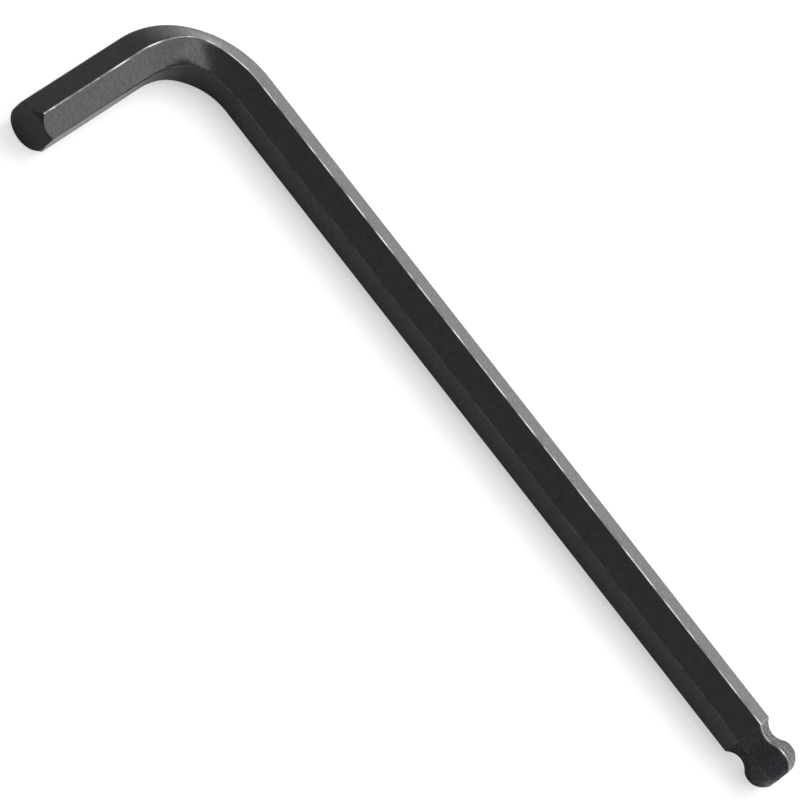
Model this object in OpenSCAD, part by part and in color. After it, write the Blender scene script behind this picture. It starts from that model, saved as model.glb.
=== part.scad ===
// Ball-end hex key, long series, lying flat as it comes to rest on a bench.
// One drawn hexagonal bar, bent once through a right angle. The bar's flats face into
// and out of the bend, so two of the hexagon's corners point straight up and down.
// X runs along the long arm to the ball, and Y from the short arm's end to the bend.

/* [Bar] */
// Distance across flats, which is the size of screw socket that the key fits
across_flats = 8; // [6:0.5:12]
// Depth that drawing took off each sharp corner of the hexagon
corner_loss = 0.1; // [0.04:0.01:0.2]

/* [Arms] */
// Length of the long arm, from the outside of the bend to the ball's tip
long_arm = 160; // [110:1:240]
// Length of the short arm, from the outside of the bend to its end face
short_arm = 43; // [34:1:70]
// Radius of the bend, on the centre line of the bar
bend_r = 15; // [10:0.5:24]

/* [Short end] */
// Gap between the edge of the round end face and each flat of the bar
end_face_gap = 0.05; // [0.02:0.01:0.5]
// Length of the turned chamfer, measured along a corner
chamfer_len = 0.85; // [0.3:0.05:2]

/* [Ball end] */
// Depth that the ball lies under the bar's flats, as clearance in the socket
ball_relief = 0.03; // [0.01:0.01:0.15]
// Distance from the bar's axis to the centres that the ball's flats curve about
ball_offset = 0.7; // [0.1:0.1:1.5]
// Distance across flats of the small hexagon at the ball's tip
tip_flats = 4.2; // [3.5:0.1:5.5]
// Depth of the neck below the bar's flats
neck_depth = 1.1; // [0.6:0.05:1.5]
// Radius of the hollow in each flat of the neck
neck_r = 3.3; // [2:0.1:5]
// Depth that the neck's hollow bites into the ball's curve, which leaves a crisp edge
neck_bite = 0.04; // [0.02:0.01:0.2]

/* [Hidden] */
$fn = 96;
hex_sides = 6;
hex_turn = 360 / hex_sides;

// The bar's section, and how high its centre line lies when it rests on its corners
half_flats = across_flats / 2;
sharp_corners = across_flats / cos(hex_turn / 2);
corners_w = sharp_corners - 2 * corner_loss;
axis_z = corners_w / 2;

// Centre lines of the arms, placed so that the origin is under the middle of the outline
long_axis_y = short_arm / 2 - half_flats;
short_axis_x = half_flats - long_arm / 2;

// Ends of the arms, measured from where the two centre lines cross
tip_x = long_arm - half_flats;
short_end = short_arm - half_flats;

// Each flat of the ball is an arc about a centre ball_offset from the axis
ball_r = half_flats - ball_relief - ball_offset;
ball_x = tip_x - sqrt(pow(ball_r, 2) - pow(tip_flats / 2 - ball_offset, 2));

// Each flat of the neck is an arc whose circle crosses the ball's by neck_bite
neck_y = half_flats - neck_depth + neck_r;
arc_gap = neck_r + ball_r - neck_bite;
arc_run = sqrt(pow(arc_gap, 2) - pow(neck_y - ball_offset, 2));
neck_x = ball_x - arc_run;
cross_share = (pow(arc_gap, 2) + pow(neck_r, 2) - pow(ball_r, 2)) / (2 * pow(arc_gap, 2));
cross_x = neck_x + arc_run * cross_share;

// Hexagon with two flats square to x, and its corners trimmed to a round
module bar_section() {
    intersection() {
        rotate(hex_turn / 2) circle(d = sharp_corners, $fn = hex_sides);
        circle(d = corners_w);
    }
}

// Straight bar along X, from x0 to x1
module straight_bar(x0, x1) {
    translate([x0, 0, 0]) rotate([90, 0, 90]) linear_extrude(x1 - x0) bar_section();
}

// A quarter turn of the bar, from the long arm's start round to the short arm's
module bend() {
    translate([bend_r, -bend_r, 0])
        rotate(90) rotate_extrude(angle = 90) translate([bend_r, 0]) bar_section();
}

// The short arm, laid along X, with its end turned to a chamfer that cuts the corners
module chamfered_bar() {
    face_r = half_flats - end_face_gap;
    slope = (corners_w / 2 - face_r) / chamfer_len;
    intersection() {
        straight_bar(bend_r, short_end);
        rotate([0, 90, 0])
            cylinder(h = short_end, r1 = face_r + slope * short_end, r2 = face_r);
    }
}

// Side view of the ball's curved flats, above and below the axis
module ball_outline() {
    translate([ball_x - ball_r, -ball_offset]) square([2 * ball_r, 2 * ball_offset]);
    for (side = [-1, 1]) translate([ball_x, side * ball_offset]) circle(r = ball_r);
}

// Side view of what a form cutter takes off one pair of flats: the neck, and round the ball
module cutter_outline() {
    for (side = [-1, 1]) translate([neck_x, side * neck_y]) circle(r = neck_r);
    difference() {
        translate([cross_x, -sharp_corners]) square([long_arm - cross_x, 2 * sharp_corners]);
        ball_outline();
    }
}

// The long arm, laid along X: plain bar, milled to a hexagonal neck and ball at its end
module ball_ended_bar() {
    difference() {
        straight_bar(bend_r, tip_x);
        for (pair = [0, 1, 2]) rotate([pair * hex_turn, 0, 0])
            linear_extrude(2 * sharp_corners, center = true) cutter_outline();
    }
}

// The whole key, seen from above. The short arm is mirrored, not only turned, so that the
// corners of its section meet the bend's corners exactly
module hex_key() {
    color("#2e2e31")
        translate([short_axis_x, long_axis_y, axis_z]) {
            ball_ended_bar();
            bend();
            rotate(-90) mirror([0, 1, 0]) chamfered_bar();
        }
}

hex_key();
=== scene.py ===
# %% [markdown]
# # A ball-end hex key in black oxide steel
# The key is one drawn hexagonal bar, bent once. This lesson shapes it again as one smooth
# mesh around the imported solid, dresses it in a dark satin oxide, and lights it on a white
# table. Everything is in metres, in the same frame as the solid.

# %% Load the frame
import math

import bmesh
import bpy
from mathutils import Matrix, Vector


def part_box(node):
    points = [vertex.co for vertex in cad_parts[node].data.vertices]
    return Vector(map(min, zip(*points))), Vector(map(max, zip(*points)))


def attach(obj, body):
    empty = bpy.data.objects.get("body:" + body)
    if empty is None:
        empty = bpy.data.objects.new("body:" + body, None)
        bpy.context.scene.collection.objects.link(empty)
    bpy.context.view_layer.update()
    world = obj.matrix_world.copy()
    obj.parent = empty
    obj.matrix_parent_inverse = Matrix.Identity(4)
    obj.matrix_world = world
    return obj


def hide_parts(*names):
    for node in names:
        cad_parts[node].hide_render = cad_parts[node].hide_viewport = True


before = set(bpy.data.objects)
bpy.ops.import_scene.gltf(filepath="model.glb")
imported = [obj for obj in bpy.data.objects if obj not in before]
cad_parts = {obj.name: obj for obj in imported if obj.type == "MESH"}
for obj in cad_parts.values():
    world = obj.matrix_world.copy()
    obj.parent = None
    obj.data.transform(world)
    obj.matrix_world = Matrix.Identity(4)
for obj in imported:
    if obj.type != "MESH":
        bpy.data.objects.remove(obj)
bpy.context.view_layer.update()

# %% [markdown]
# ## Where the bar lies
# A hex key is sold by its width across flats, and the length of each arm follows from a
# table. Here the solid's box gives the arms and how far the bar's corners stand from its
# axis, so only the width and the bend are given. The centre lines of the arms cross
# at one point. Every place on the key is measured from there, which keeps both arms in step.

# %% Sizes of the bar, its arms and its bend
MM = 0.001
key_low, key_high = (Vector(corner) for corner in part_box("hex_key"))

half_flats = 4.0 * MM
bend_r = 15.0 * MM
stock_r = (key_high.z - key_low.z) / 2
crossing = Vector((key_low.x + half_flats, key_high.y - half_flats, key_low.z + stock_r))
tip_reach = key_high.x - crossing.x
short_reach = crossing.y - key_low.y
print("arms reach", round(tip_reach / MM, 2), "and", round(short_reach / MM, 2), "mm")

# %% [markdown]
# ## The camera
# The photograph looks steeply down on the key, rolled so that the long arm runs from the
# top left to the bottom right. A long lens a metre away keeps the arms nearly parallel,
# as they are there. The camera comes first, so that every later piece is judged through it.

# %% Two helpers that place whatever looks at the key
UP = Vector((0, 0, 1))


def aim(place, target, roll=0.0):
    """Matrix of an object at place that looks at target, turned about its line of sight."""
    back = (place - target).normalized()
    right = UP.cross(back).normalized()
    turned = Matrix((right, back.cross(right), back)).transposed().to_4x4()
    return Matrix.Translation(place) @ turned @ Matrix.Rotation(math.radians(roll), 4, "Z")


def from_angles(azimuth, elevation, distance):
    """Offset to a viewer: azimuth 0 stands at -Y and 90 at +X."""
    a, e = math.radians(azimuth), math.radians(elevation)
    return distance * Vector((math.sin(a) * math.cos(e), -math.cos(a) * math.cos(e), math.sin(e)))


# %% Camera at the photograph's viewing angle
view_azimuth, view_elevation, view_roll, view_distance = 4.727, 53.027, 48.262, 1.0
view_middle = Vector((-6.018 * MM, 3.664 * MM, crossing.z))
viewpoint = view_middle + from_angles(view_azimuth, view_elevation, view_distance)

camera_data = bpy.data.cameras.new("camera")
camera_data.lens, camera_data.sensor_width = 278.54, 36.0
camera_data.clip_start, camera_data.clip_end = 0.05, 20.0
camera = bpy.data.objects.new("camera", camera_data)
camera.matrix_world = aim(viewpoint, view_middle, view_roll)
bpy.context.scene.collection.objects.link(camera)
bpy.context.scene.camera = camera
bpy.context.scene.view_settings.view_transform = "Standard"
print("camera at", tuple(round(v, 3) for v in camera.location))

# %% [markdown]
# ## The section
# A drawn bar's corners aren't sharp: the die leaves a narrow flat land along each one, and
# the lands stand at one distance from the axis wherever the flats are milled lower. A
# bevel on a finished hexagon would move the lands in with the flats. So a point of the ring
# is the sum of three shares instead: one moves with the flats, one moves with the lands,
# and one rounds the small edge between the two. Kept in three layers, they let any ring be
# resized along the key while its corners stay right.

# %% Shares of the points on one side of the hexagon
SIDES, FLAT_STEPS, ROUND_STEPS = 6, 12, 3
COS30, SQRT3 = math.cos(math.radians(30)), math.sqrt(3)


def side_shares():
    """Shares of the points on the side that faces x, from one corner land to the next."""
    facing, beside = Vector((1, 0, 0)), Vector((0, 1, 0))
    rounding = [math.radians(30) * (step / ROUND_STEPS - 1) for step in range(ROUND_STEPS)]
    places = [(-1, turn) for turn in rounding]
    places += [(2 * step / FLAT_STEPS - 1, 0) for step in range(FLAT_STEPS + 1)]
    places += [(1, -turn) for turn in reversed(rounding)]
    shares = []
    for slide, turn in places:
        turned = facing * math.cos(turn) + beside * math.sin(turn)
        shares.append((facing - SQRT3 * slide * beside, 2 * slide * beside, turned))
    land_middle = facing * COS30 + beside / 2
    return shares + [(Vector(), land_middle, land_middle)]


one_side = side_shares()
print("points on one side:", len(one_side))

# %% One ring of the bar: six flats with a land on each corner
bar = bmesh.new()
with_flats = bar.verts.layers.float_vector.new("with_flats")
with_lands = bar.verts.layers.float_vector.new("with_lands")
outward = bar.verts.layers.float_vector.new("outward")
bmesh.ops.create_circle(bar, segments=SIDES * len(one_side), radius=half_flats)
bar.verts.ensure_lookup_table()
for index, vert in enumerate(bar.verts):
    side, place = divmod(index, len(one_side))
    turn = Matrix.Rotation(math.radians(60 * side), 3, "Z")
    vert[with_flats], vert[with_lands], vert[outward] = (turn @ share for share in one_side[place])
print("points in a ring:", len(bar.verts))

# %% Size a ring by its half width across flats
# Radius beside each land, and the least that the ball's corners are trimmed
edge_round, least_trim = 0.12 * MM, 0.03 * MM


def section_point(vert, half):
    """Where a ring's point lies in the section: x is away from the bend's centre, y is up."""
    land = min(stock_r, half / COS30 - least_trim)
    flats = (half - edge_round) * vert[with_flats]
    return flats + (land - edge_round) * vert[with_lands] + edge_round * vert[outward]


land_width = 2 * (2 * half_flats - SQRT3 * stock_r)
print("each corner land is", round(land_width / MM, 2), "mm wide")

# %% [markdown]
# ## The bend
# The bar is bent cold round a former, so the section turns about the former's centre. A
# curve with a bevel object would do that too, but its ends would have to be joined to the
# arms by hand. Spinning the ring leaves an open ring at each end, where the arms can grow.

# %% Seat the first ring, and spin it through the bend
LONG = (Vector((1, 0, 0)), Vector((0, 1, 0)))
SHORT = (Vector((0, -1, 0)), Vector((-1, 0, 0)))
BEND_STEPS = 64


def seat(vert, arm, along, point):
    """Puts a point of the section at a distance along an arm."""
    ahead, away_from_bend = arm
    vert.co = crossing + ahead * along + away_from_bend * point.x + UP * point.y


first_ring = bar.edges[:]
for vert in bar.verts:
    seat(vert, LONG, bend_r, section_point(vert, half_flats))
bend_centre = crossing + Vector((bend_r, -bend_r, 0))
spun = bmesh.ops.spin(bar, geom=bar.verts[:] + first_ring, cent=bend_centre, axis=UP,
                      angle=math.radians(90), steps=BEND_STEPS, use_merge=False)
last_ring = [e for e in spun["geom_last"] if isinstance(e, bmesh.types.BMEdge)]
print("faces in the bend:", len(bar.faces))

# %% [markdown]
# ## The short arm and its chamfer
# The sawn end is turned in a lathe, so a cone meets six flats. The cone reaches furthest
# along the corners and only just touches the flats, which draws the curved edges that a
# hex key always has. A boolean with a cone would cut them too, and leave ragged faces. Here
# each point of the ring stops where its own distance from the axis meets the cone, so the
# curve draws itself.

# %% A helper that extrudes a ring
def grow(ring, place):
    """Extrudes a ring and seats each new point with place(vert)."""
    made = bmesh.ops.extrude_edge_only(bar, edges=ring)["geom"]
    points = [v for v in made if isinstance(v, bmesh.types.BMVert)]
    fresh = set(points)
    for vert in points:
        place(vert)
    return [e for e in made if isinstance(e, bmesh.types.BMEdge) and fresh.issuperset(e.verts)]


# %% Extrude the short arm to its chamfer and close it with a round face
face_gap, chamfer_len = 0.05 * MM, 0.85 * MM
face_r = half_flats - face_gap
cone_slope = (stock_r - face_r) / chamfer_len


def at_chamfer(vert):
    point = section_point(vert, half_flats)
    seat(vert, SHORT, short_reach - (point.length - face_r) / cone_slope, point)


def at_end_face(vert):
    point = section_point(vert, half_flats)
    seat(vert, SHORT, short_reach, point * face_r / point.length)


chamfer_ring = grow(last_ring, at_chamfer)
face_ring = grow(chamfer_ring, at_end_face)
bmesh.ops.edgeloop_fill(bar, edges=face_ring)
print("short arm reaches y", round(min(v.co.y for v in bar.verts) / MM, 3), "mm")

# %% [markdown]
# ## The long arm, its neck and its ball
# A form cutter mills the same outline across each pair of flats: a hollow neck, then a
# round ball with a blunt tip. So the end is a hexagon at every station, and only its size
# changes. A ball cut from a sphere would lose the six flats that grip the screw. The rings
# step round the cutter's two arcs, which gives the curve even steps.

# %% The form cutter's two arcs, and the sharp cusp where they cross
# The ball: its clearance, the centres of its arcs off the axis, and its blunt tip
ball_relief, ball_offset, tip_half = 0.03 * MM, 0.7 * MM, 2.1 * MM
# The neck: its depth, the radius of its hollow, and how far that bites into the ball
neck_depth, neck_r, neck_bite = 1.1 * MM, 3.3 * MM, 0.04 * MM

ball_r = half_flats - ball_relief - ball_offset
ball_x = tip_reach - math.sqrt(ball_r**2 - (tip_half - ball_offset) ** 2)
neck_y = half_flats - neck_depth + neck_r
arc_gap = neck_r + ball_r - neck_bite
gap_y = ball_offset - neck_y
gap_x = math.sqrt(arc_gap**2 - gap_y**2)
neck_x = ball_x - gap_x

# The cusp, measured along the line between the arcs' centres and square to it
along_gap = (arc_gap**2 + neck_r**2 - ball_r**2) / (2 * arc_gap)
beside_gap = math.sqrt(neck_r**2 - along_gap**2)
cusp_x = neck_x + (along_gap * gap_x - beside_gap * gap_y) / arc_gap
print("cusp", round(cusp_x / MM, 2), "mm and ball", round(ball_x / MM, 2), "mm from the crossing")

# %% Extrude the long arm along the two arcs
NECK_STEPS, BALL_STEPS = 30, 34


def arc_stations(centre, radius, side, turns, steps):
    """Stations round an arc: distance along the arm, and half width across flats there."""
    start, end = turns
    angles = (start + (end - start) * step / steps for step in range(steps + 1))
    along, half = centre
    return [(along + radius * math.sin(a), half + side * radius * math.cos(a)) for a in angles]


neck_turns = (-math.acos((neck_y - half_flats) / neck_r), math.asin((cusp_x - neck_x) / neck_r))
ball_turns = (math.asin((cusp_x - ball_x) / ball_r), math.acos((tip_half - ball_offset) / ball_r))
stations = arc_stations((neck_x, neck_y), neck_r, -1, neck_turns, NECK_STEPS)
stations += arc_stations((ball_x, ball_offset), ball_r, 1, ball_turns, BALL_STEPS)[1:]

long_rings = [first_ring]
for along, half in stations:
    long_rings.append(grow(long_rings[-1], lambda v: seat(v, LONG, along, section_point(v, half))))
bmesh.ops.edgeloop_fill(bar, edges=long_rings[-1])
shoulder_ring, cusp_ring, tip_ring = long_rings[1], long_rings[NECK_STEPS + 1], long_rings[-1]
print("rings along the ball end:", len(stations))

# %% [markdown]
# ## Edges that catch the light
# No edge on steel is perfectly sharp. The cutter's run-out at the shoulder is a little
# broken, and the other rims are only deburred, so the shoulder gets a wider bevel. A Bevel
# modifier would round them all alike. Handling rubs the oxide off these rims, most of all
# on the outer half of the shoulder, so the middle of each bevel remembers how bare it is.

# %% Bevel the rims and mark how far they are rubbed
rim = bar.verts.layers.float.new("rim")


def break_edges(edges, width, rubbed=0.0, rubbed_outside=0.0):
    """Bevels edges in three strips, and marks the points inside the strips as rubbed."""
    strips = set(bmesh.ops.bevel(bar, geom=edges, offset=width, offset_type="OFFSET", segments=3,
                                 profile=0.5, affect="EDGES", clamp_overlap=True, material=-1)["faces"])
    for vert in {v for face in strips for v in face.verts}:
        if strips.issuperset(vert.link_faces):
            vert[rim] = rubbed_outside if vert.co.y > crossing.y else rubbed


break_edges(shoulder_ring, 0.10 * MM, rubbed=0.03, rubbed_outside=0.45)
break_edges(cusp_ring, 0.05 * MM)
break_edges(tip_ring, 0.06 * MM)
break_edges(chamfer_ring + face_ring, 0.03 * MM, rubbed=0.2)
print("points on rubbed rims:", sum(v[rim] > 0 for v in bar.verts))

# %% Turn every face outwards and see that the skin is closed
bmesh.ops.recalc_face_normals(bar, faces=bar.faces[:])
print("open edges:", sum(not e.is_manifold for e in bar.edges))
print("volume", round(bar.calc_volume() / MM**3, 1), "cubic mm")

# %% [markdown]
# ## Coordinates that follow the bar
# The grain of the oxide, the wear on the corners and the creases of the bend all follow the
# bar, and turn with it. A pattern on plain object coordinates would keep one direction all
# the way round, and a UV map would need seams. So each point keeps its place on the bar as
# it was before it was bent: the distance along it, and the place in its section.

# %% Write each point's place on the straight bar
def place_on_bar(co):
    """x runs along the bar from the bend's long end, y is outwards from the bend, z is up."""
    from_centre = co - bend_centre
    high = co.z - crossing.z
    if from_centre.x >= 0:
        return Vector((from_centre.x, from_centre.y - bend_r, high))
    if from_centre.y <= 0:
        past_bend = bend_r * math.pi / 2 - from_centre.y
        return Vector((-past_bend, -from_centre.x - bend_r, high))
    turn = math.atan2(-from_centre.x, from_centre.y)
    return Vector((-bend_r * turn, math.hypot(from_centre.x, from_centre.y) - bend_r, high))


on_bar = bar.verts.layers.float_vector.new("on_bar")
for vert in bar.verts:
    vert[on_bar] = place_on_bar(vert.co)
along_bar = [vert[on_bar].x for vert in bar.verts]
print("before the bend it was", round((max(along_bar) - min(along_bar)) / MM, 1), "mm long")

# %% [markdown]
# ## Three kinds of surface
# Drawing, milling and turning each leave their own skin under the oxide. The drawn flats
# are smooth, the milled ball is coarser, and the cut ends are dull. Separate objects would
# leave gaps between them. One object with three material slots is enough, because nothing
# on the key comes apart.

# %% Sort the faces into drawn, milled and cut
DRAWN, MILLED, CUT = 0, 1, 2
end_depth, cone_lean = 0.02 * MM, 0.1
shoulder_x = stations[0][0]
for face in bar.faces:
    middle = face.calc_center_median() - crossing
    on_end_face = middle.x > tip_reach - end_depth or -middle.y > short_reach - end_depth
    on_chamfer = -middle.y > short_reach - chamfer_len and face.normal.y < -cone_lean
    on_ball_end = middle.x > shoulder_x
    face.material_index = CUT if on_end_face or on_chamfer else MILLED if on_ball_end else DRAWN
print("faces drawn, milled, cut:", [sum(f.material_index == k for f in bar.faces) for k in range(3)])

# %% [markdown]
# ## How bending squeezes the bar
# Steel that is bent cold thins on the outside of the curve and swells on the inside, and
# the corner between them is drawn outwards. The change is greatest near the middle of the
# bend, and the arms keep their true section. A lattice could push the bend about, but it
# wouldn't know the flats from the corners. Here each point already knows its place on the
# straight bar, so it moves by its place in the section. The flats sink a little between
# their corners, and the former blunts the two inner corners towards the short arm. No
# corner rises above the bar's own height, because the key rests on it.

# %% Sizes of the squeeze, and where in the bend each part of it is strongest
# The whole section moves out, its top and bottom curl out further, and its inside swells
pull_out, curl, swell = 0.51 * MM, 0.021 / MM, 0.06 / MM
# Depth of the hollow in the flats, and depth and reach of the blunted inner corners
hollow_depth, blunt_depth, blunt_reach = 0.13 * MM, 0.30 * MM, 1.5 * MM
inner_corner = Vector((-half_flats, half_flats * math.tan(math.radians(30))))
# Degrees of turn where each is strongest, and how far it spreads
squeeze_peak, hollow_peak, blunt_peak = (50, 21), (40, 18), (74, 14)


def bend_share(turn, peak):
    """Near 1 at the peak, fading by its spread, and 0 where the arms begin."""
    most_at, spread = peak
    off = (math.degrees(turn) - most_at) / spread
    return math.sin(2 * turn) ** 2 * math.exp(-(off**2) / 2)


peaks = (squeeze_peak, hollow_peak, blunt_peak)
print("shares at 45 degrees:", [round(bend_share(math.pi / 4, peak), 2) for peak in peaks])

# %% Squeeze the section in the bend
def squeeze(vert):
    """Moves a point of the bend as cold bending would, and leaves the arms alone."""
    from_centre = vert.co - bend_centre
    if from_centre.x >= 0 or from_centre.y <= 0:
        return
    turn = math.atan2(-from_centre.x, from_centre.y)
    amount = bend_share(turn, squeeze_peak)
    out, high = vert[on_bar].y, vert[on_bar].z
    slide = (out * COS30 + abs(high) / 2) * SQRT3 / half_flats
    near = max(0, 1 - (Vector((out, abs(high))) - inner_corner).length / blunt_reach)
    sink = hollow_depth * bend_share(turn, hollow_peak) * max(0, 1 - slide**2)
    sink += blunt_depth * bend_share(turn, blunt_peak) * near**2
    away = Vector((from_centre.x, from_centre.y, 0)).normalized()
    vert.co += away * (amount * (pull_out + curl * (high**2 - out**2)) + sink / 2)
    high = high * (1 - amount * swell * out) - math.copysign(sink * COS30, high)
    vert.co.z = crossing.z + max(-stock_r, min(stock_r, high))


for vert in bar.verts:
    squeeze(vert)
print("volume after bending", round(bar.calc_volume() / MM**3, 1), "cubic mm")

# %% [markdown]
# ## From the bmesh to an object
# The finished mesh goes into one object at the origin, because its place is in its mesh.
# It is shaded smooth. Weighted normals then let the wide flats decide, so that they stay
# flat and only the narrow lands and bevels turn the light. An extrusion adds its faces in
# any order, so they are sorted along a slanted line, and each run gives the same mesh.

# %% Put faces and edges in one fixed order
sorting_line = Vector((1.0, 0.31, 0.17))


def along_line(item):
    """How far the middle of a face or an edge lies along the sorting line."""
    return sum((vert.co for vert in item.verts), Vector()).dot(sorting_line) / len(item.verts)


bar.faces.sort(key=along_line)
bar.edges.sort(key=along_line)
print("places that are shared:", len(bar.faces) - len({along_line(face) for face in bar.faces}))

# %% Make the object, and keep its flats looking flat
for face in bar.faces:
    face.smooth = True
mesh = bpy.data.meshes.new("hex_key_bar")
bar.to_mesh(mesh)
bar.free()
key = bpy.data.objects.new("hex_key_bar", mesh)
bpy.context.scene.collection.objects.link(key)
flat_shading = key.modifiers.new("flat_shading", "WEIGHTED_NORMAL")
flat_shading.mode, flat_shading.weight, flat_shading.keep_sharp = "FACE_AREA", 100, True
print("faces:", len(mesh.polygons))

# %% [markdown]
# ## Helpers for materials
# Materials here are built from nodes in code, so that each number has a name and nothing
# is painted by hand. Most steps only mix, multiply or stretch a value, so four small
# helpers keep the recipes readable. A socket is either fed by another or set to a number.

# %% Helpers that add nodes and feed their sockets
def node(tree, kind, **settings):
    made = tree.nodes.new(kind)
    for name, value in settings.items():
        setattr(made, name, value)
    return made


def feed(tree, target, source):
    """Links an output to an input, or sets the input to a plain value."""
    if isinstance(source, bpy.types.NodeSocket):
        tree.links.new(source, target)
    else:
        target.default_value = source


def combine(tree, operation, first, second=0.0):
    made = node(tree, "ShaderNodeMath", operation=operation)
    feed(tree, made.inputs[0], first)
    feed(tree, made.inputs[1], second)
    return made.outputs[0]


def remap(tree, value, given=(0.0, 1.0), wanted=(0.0, 1.0), kind="LINEAR"):
    """Maps a value from one range to another, and holds it at both ends."""
    made = node(tree, "ShaderNodeMapRange", interpolation_type=kind)
    names = ("Value", "From Min", "From Max", "To Min", "To Max")
    for name, source in zip(names, (value, *given, *wanted)):
        feed(tree, made.inputs[name], source)
    return made.outputs["Result"]


# %% Helpers for noise and for node groups
def noise(tree, place, scale, detail):
    made = node(tree, "ShaderNodeTexNoise", noise_dimensions="3D")
    feed(tree, made.inputs["Vector"], place)
    feed(tree, made.inputs["Scale"], scale)
    feed(tree, made.inputs["Detail"], detail)
    return made.outputs["Fac"]


def stretch(tree, place, scale):
    """Squeezes a pattern by scale along each direction of the bar."""
    made = node(tree, "ShaderNodeMapping")
    feed(tree, made.inputs["Vector"], place)
    feed(tree, made.inputs["Scale"], scale)
    return made.outputs["Vector"]


def new_group(name, numbers, outputs):
    """A group that takes a place and named numbers: its tree, its inputs and its outputs."""
    tree = bpy.data.node_groups.new(name, "ShaderNodeTree")
    face = tree.interface
    face.new_socket("Place", in_out="INPUT", socket_type="NodeSocketVector")
    for label, number in numbers.items():
        face.new_socket(label, in_out="INPUT", socket_type="NodeSocketFloat").default_value = number
    for label in outputs:
        face.new_socket(label, in_out="OUTPUT", socket_type="NodeSocketFloat")
    return tree, node(tree, "NodeGroupInput").outputs, node(tree, "NodeGroupOutput").inputs


# %% [markdown]
# ## Oxide and its oil
# Black oxide is a thin, hard skin on the steel, nearly black, and its tone clouds a little
# from place to place. A trace of oil lies in its grain and shines like a satin lacquer, in
# some pores more than in others. An even coat would look like plastic, and a strong bump
# shows only on the flats that are already light. So the same fine grain gives the relief
# and says how much oil there is. All three finishes have it, so it is one group.

# %% A group for the oxide's tone, relief and oil
cloud_detail, grain_detail = 4.0, 2.0
film_limits = (0.36, 0.64)


def make_oxide_group():
    """A tone, a height for bump and a film of oil, each from 0 to 1, from places on the bar."""
    numbers = {"Cloud Scale": 400.0, "Grain Scale": 4000.0, "Speckle": 0.5}
    tree, given, wanted = new_group("oxide_grain", numbers, ("Tone", "Height", "Film"))
    clouds = noise(tree, given["Place"], given["Cloud Scale"], cloud_detail)
    grain = noise(tree, given["Place"], given["Grain Scale"], grain_detail)
    tone = node(tree, "ShaderNodeMix", data_type="FLOAT")
    feed(tree, tone.inputs["Factor"], given["Speckle"])
    feed(tree, tone.inputs[2], clouds)
    feed(tree, tone.inputs[3], grain)
    feed(tree, wanted["Tone"], tone.outputs[0])
    feed(tree, wanted["Height"], grain)
    feed(tree, wanted["Film"], remap(tree, grain, film_limits, kind="SMOOTHSTEP"))
    return tree


oxide_group = make_oxide_group()
print("oxide group:", [item.name for item in oxide_group.interface.items_tree])

# %% [markdown]
# ## Wear along the corners
# A key is slid in and out of sockets and dropped in drawers. That takes the oxide off its
# corners first, in patches, and bares the steel. Two of the six corners point up and down
# as the key lies, and those shine the most. The Geometry node's Pointiness could find the
# corners, but it changes with the mesh. The place on the bar finds them exactly: on a
# corner, the point is equally far out towards two flats.

# %% Find the corners from the place on the bar
def towards_flats(tree, place):
    """How far a place lies out towards each of the three pairs of flats."""
    reach = []
    for turn in (math.radians(60 * k) for k in range(3)):
        across = node(tree, "ShaderNodeVectorMath", operation="DOT_PRODUCT")
        feed(tree, across.inputs[0], place)
        feed(tree, across.inputs[1], (0, math.cos(turn), math.sin(turn)))
        reach.append(combine(tree, "ABSOLUTE", across.outputs["Value"]))
    return reach


def in_order(tree, reach):
    """The most, the second and the least of three values."""
    def over_all(operation):
        """One operation over all three values."""
        return combine(tree, operation, combine(tree, operation, reach[0], reach[1]), reach[2])

    most, least = over_all("MAXIMUM"), over_all("MINIMUM")
    others = combine(tree, "SUBTRACT", over_all("ADD"), most)
    return most, combine(tree, "SUBTRACT", others, least), least


# %% A group for the wear on the corners
# How far to the side the top and bottom corners reach, and what lies in the neck or proud
side_reach, sunk, proud, neck_share = 1.0 * MM, 3.4 * MM, 3.85 * MM, 0.6
patch_scale, patch_detail, patch_limits, least_patch = 260.0, 5.0, (0.38, 0.62), 0.25


def make_corner_group():
    """Wear from 0 to 1: full on top and bottom corners, less on side ones and in the neck."""
    tree, given, wanted = new_group("corner_mask", {"Width": 0.2 * MM, "Side Share": 0.2}, ("Corner",))
    reach = towards_flats(tree, given["Place"])
    most, second, least = in_order(tree, reach)
    from_corner = combine(tree, "SUBTRACT", most, second)
    from_ridge = combine(tree, "SUBTRACT", reach[0], least)
    patches = noise(tree, given["Place"], patch_scale, patch_detail)
    worn = 1.0
    for value, start, end in ((from_corner, (0.0, given["Width"]), (1.0, 0.0)),
                              (from_ridge, (0.0, side_reach), (1.0, given["Side Share"])),
                              (patches, patch_limits, (least_patch, 1.0)),
                              (most, (sunk, proud), (neck_share, 1.0))):
        worn = combine(tree, "MULTIPLY", remap(tree, value, start, end, "SMOOTHSTEP"), worn)
    feed(tree, wanted["Corner"], worn)
    return tree


corner_group = make_corner_group()
print("corner group:", [item.name for item in corner_group.interface.items_tree])

# %% [markdown]
# ## Creases in the bend
# Where the bar is bent, its skin stretches and puckers into fine creases that run across
# it. They are far too small to model, and only show in how they break up the light. Noise
# that is drawn out across the bar gives them, and its height fades out towards both arms.

# %% Creases across the bar, only in the bend
crease_scale, crease_detail, crease_stretch = 1400.0, 4.0, (1, 0.3, 0.3)
crease_fades = ((-19 * MM, -12 * MM), (-4 * MM, -8 * MM))


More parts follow.
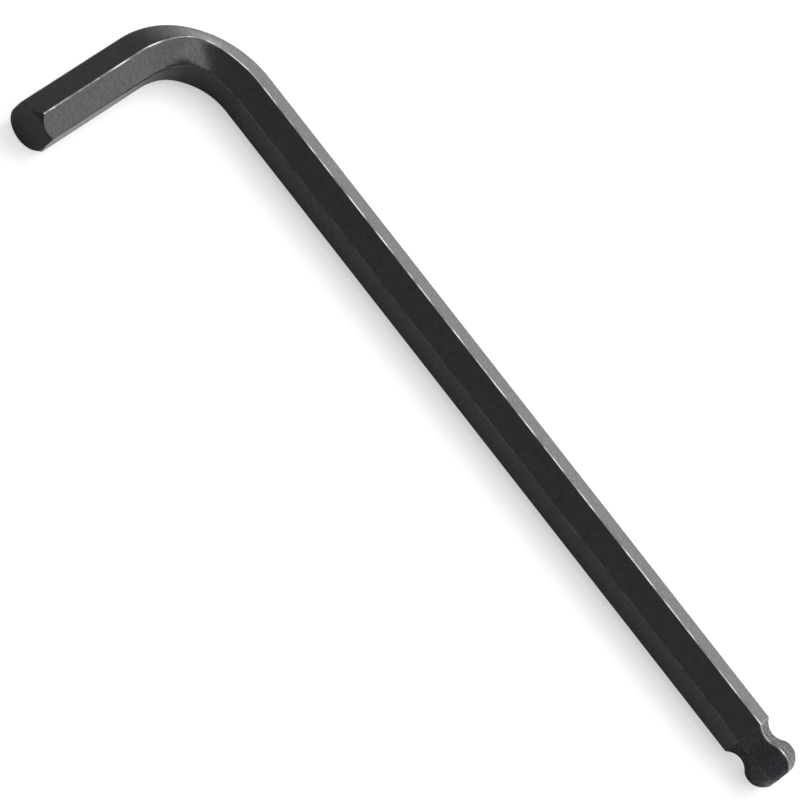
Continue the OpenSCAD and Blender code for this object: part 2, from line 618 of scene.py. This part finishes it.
def bend_creases(tree, place, depth):
    """Normal of the creases, which are strongest between the inner ends of the two fades."""
    parts = node(tree, "ShaderNodeSeparateXYZ")
    feed(tree, parts.inputs["Vector"], place)
    height = noise(tree, stretch(tree, place, crease_stretch), crease_scale, crease_detail)
    for fade in crease_fades:
        share = remap(tree, parts.outputs["X"], fade, kind="SMOOTHSTEP")
        height = combine(tree, "MULTIPLY", height, share)
    bump = node(tree, "ShaderNodeBump")
    feed(tree, bump.inputs["Distance"], depth)
    feed(tree, bump.inputs["Height"], height)
    return bump.outputs["Normal"]


print("creases fade over", [round(abs(near - far) / MM, 1) for far, near in crease_fades], "mm")

# %% [markdown]
# ## One recipe for oxide steel
# The real finish is layers: bare steel, oxide on it, oil on the oxide. The Principled
# shader has the same layers. Its base is the oxide, a metallic share is the steel where
# the oxide is rubbed off, and its coat is the oil. One recipe makes all three finishes, so
# they stay one family, and each finish only brings its own numbers.

# %% The parts of the recipe: colour, wear and relief
bare_steel = (0.42, 0.41, 0.39, 1)
tone_limits, tone_tint = (0.35, 0.65), (1, 1.02, 1.2)
oil_roughness, oil_ior = 0.15, 1.5


def oxide_colour(tree, tone, tones):
    """Near black with a trace of blue, from the darker of two tones to the lighter."""
    ramp = node(tree, "ShaderNodeValToRGB")
    for element, limit, level in zip(ramp.color_ramp.elements, tone_limits, tones):
        element.position = limit
        element.color = (*(level * tint for tint in tone_tint), 1)
    feed(tree, ramp.inputs["Fac"], tone)
    return ramp.outputs["Color"]


def bare_share(tree, place, finish):
    """How much of the oxide is rubbed off, on corners and on rims."""
    corner = node(tree, "ShaderNodeGroup", node_tree=corner_group)
    feed(tree, corner.inputs["Place"], place)
    feed(tree, corner.inputs["Width"], finish["wear_width"])
    feed(tree, corner.inputs["Side Share"], finish["side_share"])
    rims = node(tree, "ShaderNodeAttribute", attribute_name="rim")
    most = combine(tree, "MAXIMUM", corner.outputs["Corner"], rims.outputs["Fac"])
    return combine(tree, "MULTIPLY", most, finish["wear"])


def grain_normal(tree, oxide, place, finish):
    """Normal of the grain, over the creases where the finish has them."""
    relief = node(tree, "ShaderNodeBump")
    feed(tree, relief.inputs["Distance"], finish["relief"])
    feed(tree, relief.inputs["Height"], oxide.outputs["Height"])
    if finish["creases"]:
        feed(tree, relief.inputs["Normal"], bend_creases(tree, place, finish["creases"]))
    return relief.outputs["Normal"]


# %% The recipe
def make_steel(name, finish):
    """Black oxide steel, from the numbers of one finish."""
    steel = bpy.data.materials.new(name)
    steel.use_nodes = True
    tree = steel.node_tree
    shader = tree.nodes["Principled BSDF"].inputs
    shader["IOR"].default_value = finish["ior"]
    shader["Coat Roughness"].default_value = oil_roughness
    shader["Coat IOR"].default_value = oil_ior

    place = node(tree, "ShaderNodeAttribute", attribute_name="on_bar").outputs["Vector"]
    oxide = node(tree, "ShaderNodeGroup", node_tree=oxide_group)
    feed(tree, oxide.inputs["Place"], stretch(tree, place, finish["stretch"]))
    feed(tree, oxide.inputs["Cloud Scale"], finish["clouds"])
    feed(tree, oxide.inputs["Grain Scale"], finish["grain"])

    colour = oxide_colour(tree, oxide.outputs["Tone"], finish["tones"])
    if finish["wear"]:
        bare = bare_share(tree, place, finish)
        worn = node(tree, "ShaderNodeMix", data_type="RGBA")
        feed(tree, worn.inputs["Factor"], bare)
        feed(tree, worn.inputs["A"], colour)
        feed(tree, worn.inputs["B"], bare_steel)
        feed(tree, shader["Metallic"], bare)
        colour = worn.outputs["Result"]
    feed(tree, shader["Base Color"], colour)
    feed(tree, shader["Roughness"], remap(tree, oxide.outputs["Tone"], wanted=finish["roughness"]))
    feed(tree, shader["Coat Weight"], remap(tree, oxide.outputs["Film"], wanted=finish["oil"]))
    feed(tree, shader["Normal"], grain_normal(tree, oxide, place, finish))
    return steel


# %% [markdown]
# ## Three finishes
# The drawn flats are the smoothest. Their grain is a little longer across the bar than along
# it, and they carry an even film of oil and the creases of the bend. The milled neck and
# ball are coarse and speckled, because oil fills some cutter marks and leaves others dry.
# The cut ends are dull, nearly dry and unworn. Three copies of one material would drift
# apart, so the finishes are rows of numbers, settled with the render beside the photograph.

# %% Numbers of the three finishes, and their materials
# Pairs run from the lowest to the highest. Clouds and grain count features in a metre.
finishes = {
    "black_oxide_drawn": {
        "tones": (0.013, 0.019), "roughness": (0.16, 0.24), "oil": (0.3, 0.5), "ior": 1.2,
        "clouds": 500, "grain": 2400, "stretch": (1.6, 0.6, 0.6), "relief": 0.012 * MM,
        "wear": 0.8, "wear_width": 0.22 * MM, "side_share": 0.2, "creases": 0.1 * MM,
    },
    "black_oxide_milled": {
        "tones": (0.021, 0.027), "roughness": (0.12, 0.42), "oil": (0.0, 0.55), "ior": 1.13,
        "clouds": 700, "grain": 2600, "stretch": (1, 1, 1), "relief": 0.03 * MM,
        "wear": 1.0, "wear_width": 0.32 * MM, "side_share": 0.06, "creases": 0.0,
    },
    "black_oxide_cut": {
        "tones": (0.013, 0.017), "roughness": (0.3, 0.4), "oil": (0.0, 0.15), "ior": 1.25,
        "clouds": 500, "grain": 3000, "stretch": (1, 1, 1), "relief": 0.01 * MM,
        "wear": 0.0, "creases": 0.0,
    },
}
for name, finish in finishes.items():
    key.data.materials.append(make_steel(name, finish))
print("materials:", [material.name for material in key.data.materials])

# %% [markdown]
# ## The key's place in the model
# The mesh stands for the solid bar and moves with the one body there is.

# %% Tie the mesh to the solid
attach(key, "root")
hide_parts("hex_key")
print("stands for the solid:", key.name)

# %% [markdown]
# ## A white room
# In the photograph the background is pure white, and the key mirrors it. If that white
# were real light from all round, it would wash out the oxide. So the world is white to the
# eye and in mirrored rays, and gives only half that light to dull surfaces. Its white lies
# near the horizon and fades above it, which leaves the flats that mirror the ceiling dark.

# %% What counts as seen or mirrored
def seen_or_mirrored(tree):
    """1 for rays from the camera, and for what metal and glass mirror or pass on."""
    path = node(tree, "ShaderNodeLightPath").outputs
    mirrored = combine(tree, "MAXIMUM", path["Is Glossy Ray"], path["Is Transmission Ray"])
    return combine(tree, "MAXIMUM", path["Is Camera Ray"], mirrored)


# %% World
fill_level, ceiling_level = 0.5, 0.55
horizon_band = (0.06, 0.22)

world = bpy.data.worlds.new("studio")
bpy.context.scene.world = world
world.use_nodes = True
tree = world.node_tree
parts = node(tree, "ShaderNodeSeparateXYZ")
feed(tree, parts.inputs["Vector"], node(tree, "ShaderNodeTexCoord").outputs["Generated"])
height_level = remap(tree, parts.outputs["Z"], horizon_band, (1.0, ceiling_level), "SMOOTHSTEP")
ray_level = remap(tree, seen_or_mirrored(tree), wanted=(fill_level, 1.0))
sky = tree.nodes["Background"].inputs
sky["Color"].default_value = (1, 1, 1, 1)
feed(tree, sky["Strength"], combine(tree, "MULTIPLY", height_level, ray_level))
print("world:", world.name)

# %% [markdown]
# ## The white table
# A real white table close to a dark object is darker than the rest of it, because the
# object hides the light. Here that strip is painted shade: Ambient Occlusion finds it and
# dims the table's glow there. The key's inner flats mirror just that painted strip, and it
# keeps them dark in the bend. In the photograph the table itself is cut out in white, so the
# eye sees a paler and narrower painted shade than the steel mirrors. The table's own colour
# is grey, and it keeps the soft shadow of the lamps. A glow that only seen and mirrored rays
# meet lifts it to white.

# %% Table
table_size, table_gap = 3.0, 0.01 * MM
plate = bmesh.new()
bmesh.ops.create_grid(plate, x_segments=1, y_segments=1, size=table_size)
table_mesh = bpy.data.meshes.new("table")
plate.to_mesh(table_mesh)
plate.free()
table = bpy.data.objects.new("table", table_mesh)
table.location.z = key_low.z - table_gap
bpy.context.scene.collection.objects.link(table)
print("table at", round(table.location.z / MM, 2), "mm")

# %% The table's colour, its glow and the painted shade beside the key
table_grey, table_roughness, glow_level = 0.3, 0.4, 0.72
# How far the painted shade beside the key reaches, and its limits in mirrored rays and for the eye
shade_reach = 18 * MM
mirrored_shade = ((0.42, 1.0), (0.05, 1.0))
eye_shade = ((0.0, 0.6), (0.64, 1.0))

white = bpy.data.materials.new("white_table")
white.use_nodes = True
tree = white.node_tree
# The glow is dimmed beside the key by Ambient Occlusion: a painted shade, darker in mirrored rays than
# for the eye
painted_shade_ao = node(tree, "ShaderNodeAmbientOcclusion", samples=8)
feed(tree, painted_shade_ao.inputs["Distance"], shade_reach)
shade = node(tree, "ShaderNodeMix", data_type="FLOAT")
feed(tree, shade.inputs["Factor"], node(tree, "ShaderNodeLightPath").outputs["Is Camera Ray"])
feed(tree, shade.inputs[2], remap(tree, painted_shade_ao.outputs["AO"], *mirrored_shade))
feed(tree, shade.inputs[3], remap(tree, painted_shade_ao.outputs["AO"], *eye_shade))
glow_with_painted_shade = combine(tree, "MULTIPLY", seen_or_mirrored(tree), shade.outputs[0])

paper = tree.nodes["Principled BSDF"].inputs
paper["Base Color"].default_value = (table_grey, table_grey, table_grey, 1)
paper["Roughness"].default_value = table_roughness
paper["Emission Color"].default_value = (1, 1, 1, 1)
feed(tree, paper["Emission Strength"], combine(tree, "MULTIPLY", glow_with_painted_shade, glow_level))
table.data.materials.append(white)
print("table material:", white.name)

# %% [markdown]
# ## Soft light from behind
# One large softbox leans over the key from behind. The flats that face it are light, and
# those that face the camera stay dark, as in the photograph. Small lamps would leave hard
# glints instead. The box's edge towards -X decides where the light begins on the outside of
# the bend, and its top edge where it ends on the middle flat. That flat is brightest just
# before it goes dark, so a small second box brightens the stretch of edge that it mirrors.

# %% Lamps
panel_azimuth, panel_elevation = 180, 40


def soft_panel(name, distance, shift, size, radiance):
    """A rectangular softbox behind the key, slid in its own plane towards -X and up by shift."""
    lamp_data = bpy.data.lights.new(name, "AREA")
    lamp_data.shape, lamp_data.size, lamp_data.size_y = "RECTANGLE", *size
    lamp_data.energy = radiance * math.pi * size[0] * size[1]
    lamp = bpy.data.objects.new(name, lamp_data)
    facing_key = aim(from_angles(panel_azimuth, panel_elevation, distance), Vector())
    lamp.matrix_world = facing_key @ Matrix.Translation((*shift, 0))
    lamp.visible_camera = False
    bpy.context.scene.collection.objects.link(lamp)
    print(name, round(lamp_data.energy, 1), "W")


soft_panel("back_panel", 1.2, (-0.50, 0.0), (2.0, 2.16), 3.2)
soft_panel("top_panel", 1.19, (-0.52, 0.93), (0.5, 0.42), 1.9)
